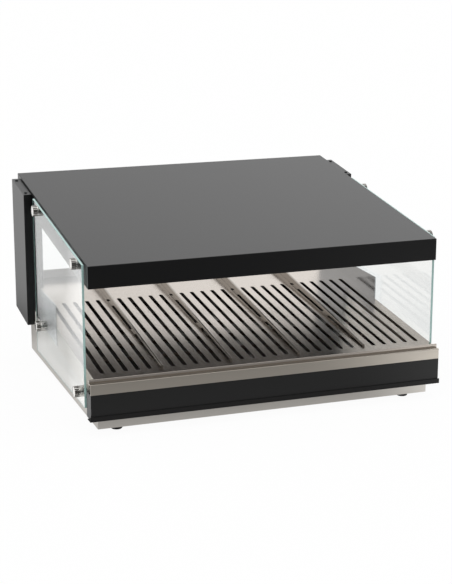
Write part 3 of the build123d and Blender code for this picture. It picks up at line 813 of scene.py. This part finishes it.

# %% [markdown]
# ## Floor, world and lamps
# The floor is a plain pale sheet. The camera sees it as white with a trace of the object's shadow.
# Shiny pieces see more: a glow painted on the floor, which only mirror rays see, as painted reflections
# laid out for this camera. A bright patch painted to the left stands for a light table, and a
# brighter one painted in front on the right stands for a white card. The glow round the warmer is
# bright, and a narrow dim band painted behind it, as painted shade, comes before the bright backdrop.
# Far in front the glow is painted nearly dark, so the black front stays black. The floor is drawn
# once and its shader is put together from these. Places on the floor are in metres from the origin.

# %%
# Floor shape and its plain paint
floor_radius = 80.0
floor_drop = 0.2
bpy.ops.object.select_all(action="DESELECT")
bpy.ops.mesh.primitive_circle_add(
    vertices=96, radius=floor_radius, fill_type="NGON", location=(0, 0, -floor_drop * mm)
)
floor = bpy.context.object
floor.name = "Studio_floor"
floor_material = bpy.data.materials.new("Studio_floor_pale_with_painted_reflections")
floor_material.use_nodes = True
floor_tree = floor_material.node_tree
floor_tree.nodes.clear()
floor_rays = add(floor_tree, "ShaderNodeLightPath")
floor_paint = add(floor_tree, "ShaderNodeBsdfDiffuse", {"Color": linear("BCBCBC")})
floor.data.materials.append(floor_material)

# %%
# What the camera sees of the floor
glow_share = 0.95
floor_white = add(floor_tree, "ShaderNodeEmission", {"Color": linear("FFFFFF"), "Strength": 1.0})
white_paint = add(floor_tree, "ShaderNodeBsdfDiffuse", {"Color": linear("FEFEFE")})
seen_floor = add(
    floor_tree,
    "ShaderNodeMixShader",
    {0: glow_share},
    {1: white_paint.outputs[0], 2: floor_white.outputs[0]},
)
seen = arithmetic(
    floor_tree,
    "MAXIMUM",
    floor_rays.outputs["Is Camera Ray"],
    floor_rays.outputs["Is Transmission Ray"],
)

# %%
# Painted reflections: what shiny pieces see of the floor, as places along Y and how bright the painted glow
# is there
floor_place = add(floor_tree, "ShaderNodeTexCoord")
floor_axes = add(floor_tree, "ShaderNodeSeparateXYZ", links={"Vector": floor_place.outputs["Object"]})
front_end = -1.2
rear_end = 1.6
# Painted glow along Y: the dim band from 0.42 to 0.52 is painted shade behind the warmer, and the near-dark
# front end keeps the black front black
painted_glow_levels = [
    (-0.9, 0.05),
    (-0.5, 0.45),
    (-0.33, 0.50),
    (-0.2, 0.80),
    (0.3, 0.80),
    (0.42, 0.2),
    (0.52, 0.2),
    (0.72, 0.9),
    (1.2, 1.0),
]
along = fade(floor_tree, floor_axes.outputs["Y"], front_end, rear_end)
painted_reflection_ramp = add(floor_tree, "ShaderNodeValToRGB", links={"Fac": along})
stops = painted_reflection_ramp.color_ramp.elements
while len(stops) < len(painted_glow_levels):
    stops.new(0.5)
for stop, (y, level) in zip(stops, painted_glow_levels):
    stop.position = (y - front_end) / (rear_end - front_end)
    stop.color = (level, level, level, 1.0)

# %%
# A painted reflection of a light table to the left of the warmer, with a slanting edge that runs to the
# back
table_slant = 0.235
full_table, table_end = -0.40, -0.31
painted_table_level = 1.6
beside_start, beside_full = -0.30, -0.12
table_edge = arithmetic(
    floor_tree, "MULTIPLY_ADD", floor_axes.outputs["Y"], table_slant, floor_axes.outputs["X"]
)
painted_table_patch = fade(floor_tree, table_edge, full_table, table_end, painted_table_level, 0.0, "SMOOTHSTEP")
beside = fade(floor_tree, floor_axes.outputs["Y"], beside_start, beside_full)
painted_table_reflection = arithmetic(floor_tree, "MULTIPLY", painted_table_patch, beside)
brightest = arithmetic(floor_tree, "MAXIMUM", painted_reflection_ramp.outputs["Color"], painted_table_reflection)

# %%
# A painted reflection of a white card in front of the warmer on the right
card_start, full_card = 0.18, 0.52
painted_card_level = 2.5
painted_card_patch = fade(floor_tree, floor_axes.outputs["X"], card_start, full_card, 0.0, painted_card_level, "SMOOTHSTEP")
in_front = arithmetic(floor_tree, "SUBTRACT", 1.0, beside)
painted_card_gain = arithmetic(floor_tree, "MULTIPLY_ADD", painted_card_patch, in_front, 1.0)
painted_reflection_level = arithmetic(floor_tree, "MULTIPLY", brightest, painted_card_gain)
# Emission that only mirror rays see: the painted reflections on the floor
painted_floor_reflection = add(floor_tree, "ShaderNodeEmission", {"Color": linear("FFFFFF")}, {"Strength": painted_reflection_level})

# %%
# Put the floor's shader together: mirror rays see the painted glow, and the floor is gone when it is seen
# from below
floor_with_painted_reflections = mixed(
    floor_tree, floor_rays.outputs["Is Glossy Ray"], floor_paint.outputs[0], painted_floor_reflection.outputs[0]
)
floor_mix = mixed(floor_tree, seen, floor_with_painted_reflections, seen_floor.outputs[0])
floor_side = add(floor_tree, "ShaderNodeNewGeometry")
floor_gone = add(floor_tree, "ShaderNodeBsdfTransparent")
floor_top = mixed(floor_tree, floor_side.outputs["Backfacing"], floor_mix, floor_gone.outputs[0])
add(floor_tree, "ShaderNodeOutputMaterial", links={"Surface": floor_top})
print("floor made")

# %% [markdown]
# The world works the same way. The camera and what it sees through glass meet plain white. Shiny
# pieces meet a bright wall at the back, brightest on the right, and a dimmer studio in front.

# %%
# World
front_level, back_level = 0.14, 1.2
right_extra = 0.4
soft_level = 0.55
world = bpy.data.worlds.new("Studio_world")
bpy.context.scene.world = world
world.use_nodes = True
air = world.node_tree
air.nodes.clear()
direction = add(air, "ShaderNodeTexCoord")
axes = add(air, "ShaderNodeSeparateXYZ", links={"Vector": direction.outputs["Generated"]})
to_back = fade(air, axes.outputs["Y"], -0.5, 0.6, front_level, back_level, "SMOOTHSTEP")
to_right = fade(air, axes.outputs["X"], 0.1, 0.6, 0.0, right_extra, "SMOOTHSTEP")
wall_level = arithmetic(air, "ADD", to_back, to_right)
world_rays = add(air, "ShaderNodeLightPath")
open_view = arithmetic(
    air, "MAXIMUM", world_rays.outputs["Is Camera Ray"], world_rays.outputs["Is Transmission Ray"]
)
studio_walls = add(air, "ShaderNodeBackground", {"Color": linear("FFFFFF")}, {"Strength": wall_level})
soft_air = add(air, "ShaderNodeBackground", {"Color": linear("FFFFFF"), "Strength": soft_level})
by_mirror = mixed(
    air, world_rays.outputs["Is Glossy Ray"], soft_air.outputs[0], studio_walls.outputs[0]
)
white_view = add(air, "ShaderNodeBackground", {"Color": linear("FFFFFF"), "Strength": 1.0})
by_view = mixed(air, open_view, by_mirror, white_view.outputs[0])
add(air, "ShaderNodeOutputWorld", links={"Surface": by_view})
print("world made")

# %%
# Lamps
def soft_lamp(name, strength, tilt, turn, softness):
    """A very soft distant lamp. tilt is from straight above and turn is round Z, in degrees."""
    data = bpy.data.lights.new(name, "SUN")
    data.energy = strength
    data.angle = math.radians(softness)
    lamp = bpy.data.objects.new(name, data)
    bpy.context.scene.collection.objects.link(lamp)
    lamp.rotation_euler = (math.radians(tilt), 0.0, math.radians(turn))


soft_lamp("Studio_lamp_top", 1.0, tilt=18, turn=20, softness=60)
soft_lamp("Studio_lamp_left", 0.7, tilt=60, turn=-50, softness=70)
bpy.context.scene.view_settings.view_transform = "Standard"
print("lamps made")
